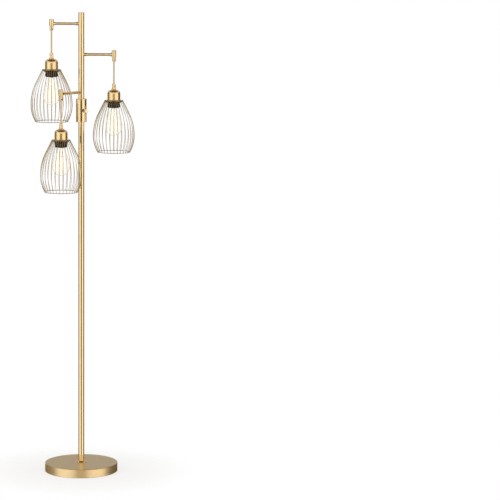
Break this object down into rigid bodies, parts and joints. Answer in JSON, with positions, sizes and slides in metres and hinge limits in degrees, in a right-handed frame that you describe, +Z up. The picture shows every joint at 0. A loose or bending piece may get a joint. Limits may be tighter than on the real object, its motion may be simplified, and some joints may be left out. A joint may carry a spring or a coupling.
{
  "type": "tree floor lamp",
  "caption": "Tree floor lamp: a straight pole on a round weighted base, with short arms whose cords carry wire cage shades over teardrop bulbs.",
  "frame": {"origin": "centre of the base's underside, on the pole's axis, on the floor", "axes": "+Z up along the pole, +X towards the second arm (to the right seen from the front), -Y towards the front"},
  "size_m": [0.3853, 0.311, 1.727],
  "materials": {
    "black_shell": "satin moulded",
    "brushed_gold": "fine brushed satin",
    "cap_metal": "plated",
    "clear_glass": "clear, polished",
    "cord_jacket": "smooth jacket",
    "dark_steel": "blackened",
    "filler": "cast, rough",
    "gland_rubber": "moulded",
    "knob_face": "satin",
    "lead_jacket": "smooth jacket",
    "pad_foam": "fine closed foam",
    "plated_steel": "zinc plated",
    "wire_gold": "satin champagne plating"
  },
  "bodies": {
    "stand": {"base_cover": "brushed_gold", "base_weight": "filler", "base_pad": "pad_foam", "cord_gland": "gland_rubber", "foot_collar": "brushed_gold", "pole_section_1": "brushed_gold", "pole_section_2": "brushed_gold", "pole_section_3": "brushed_gold", "pole_joiners": "plated_steel", "pole_upper": "brushed_gold", "pole_cap": "brushed_gold", "threaded_nipples": "plated_steel", "lock_nuts": "plated_steel", "switch_housing": "brushed_gold", "housing_caps": "brushed_gold", "switch_body": "dark_steel", "switch_ring_nut": "dark_steel", "arm_tube_1": "brushed_gold", "arm_tube_2": "brushed_gold", "arm_tube_3": "brushed_gold", "arm_ferrules": "brushed_gold", "arm_hubs": "brushed_gold", "upper_cord_grips": "brushed_gold", "grip_screws": "dark_steel", "inner_leads": "lead_jacket"},
    "switch_dial": {"switch_shaft": "plated_steel", "switch_knob": "knob_face"},
    "cord_1": {"pendant_cord_1": "cord_jacket"},
    "shade_1": {"lower_cord_grip_1": "brushed_gold", "socket_cup_1": "brushed_gold", "shade_plate_1": "wire_gold", "screw_ring_1": "black_shell", "lamp_holder_1": "black_shell", "holder_liner_1": "cap_metal", "bulb_cap_1": "cap_metal", "bulb_glass_1": "clear_glass", "cage_wires_1": "wire_gold", "cage_ring_1": "wire_gold"},
    "cord_2": {"pendant_cord_2": "cord_jacket"},
    "shade_2": {"lower_cord_grip_2": "brushed_gold", "socket_cup_2": "brushed_gold", "shade_plate_2": "wire_gold", "screw_ring_2": "black_shell", "lamp_holder_2": "black_shell", "holder_liner_2": "cap_metal", "bulb_cap_2": "cap_metal", "bulb_glass_2": "clear_glass", "cage_wires_2": "wire_gold", "cage_ring_2": "wire_gold"},
    "cord_3": {"pendant_cord_3": "cord_jacket"},
    "shade_3": {"lower_cord_grip_3": "brushed_gold", "socket_cup_3": "brushed_gold", "shade_plate_3": "wire_gold", "screw_ring_3": "black_shell", "lamp_holder_3": "black_shell", "holder_liner_3": "cap_metal", "bulb_cap_3": "cap_metal", "bulb_glass_3": "clear_glass", "cage_wires_3": "wire_gold", "cage_ring_3": "wire_gold"}
  },
  "joints": [
    {"name": "switch_turn", "type": "hinge", "parent": "stand", "child": "switch_dial", "pos_m": [0.01667, -0.03134, 1.36475], "axis": [0.4695, -0.8829, 0], "continuous": true},
    {"name": "pendant_1_sway", "type": "hinge", "parent": "stand", "child": "cord_1", "pos_m": [-0.11, 0, 1.6594], "axis": [-1, 0, 0], "range_deg": [-25, 2]},
    {"name": "pendant_1_swing", "type": "hinge", "parent": "cord_1", "child": "shade_1", "pos_m": [-0.11, 0, 1.5765], "axis": [0, 1, 0], "range_deg": [-2, 25]},
    {"name": "pendant_2_sway", "type": "hinge", "parent": "stand", "child": "cord_2", "pos_m": [0.1205, 0, 1.5464], "axis": [1, 0, 0], "range_deg": [-25, 25]},
    {"name": "pendant_2_swing", "type": "hinge", "parent": "cord_2", "child": "shade_2", "pos_m": [0.1205, 0, 1.4635], "axis": [0, -1, 0], "range_deg": [-6, 25]},
    {"name": "pendant_3_sway", "type": "hinge", "parent": "stand", "child": "cord_3", "pos_m": [-0.07419, -0.09495, 1.4064], "axis": [-0.6157, -0.788, 0], "range_deg": [-18, 25]},
    {"name": "pendant_3_swing", "type": "hinge", "parent": "cord_3", "child": "shade_3", "pos_m": [-0.07419, -0.09495, 1.3235], "axis": [-0.788, 0.6157, 0], "range_deg": [-6, 25]}
  ]
}
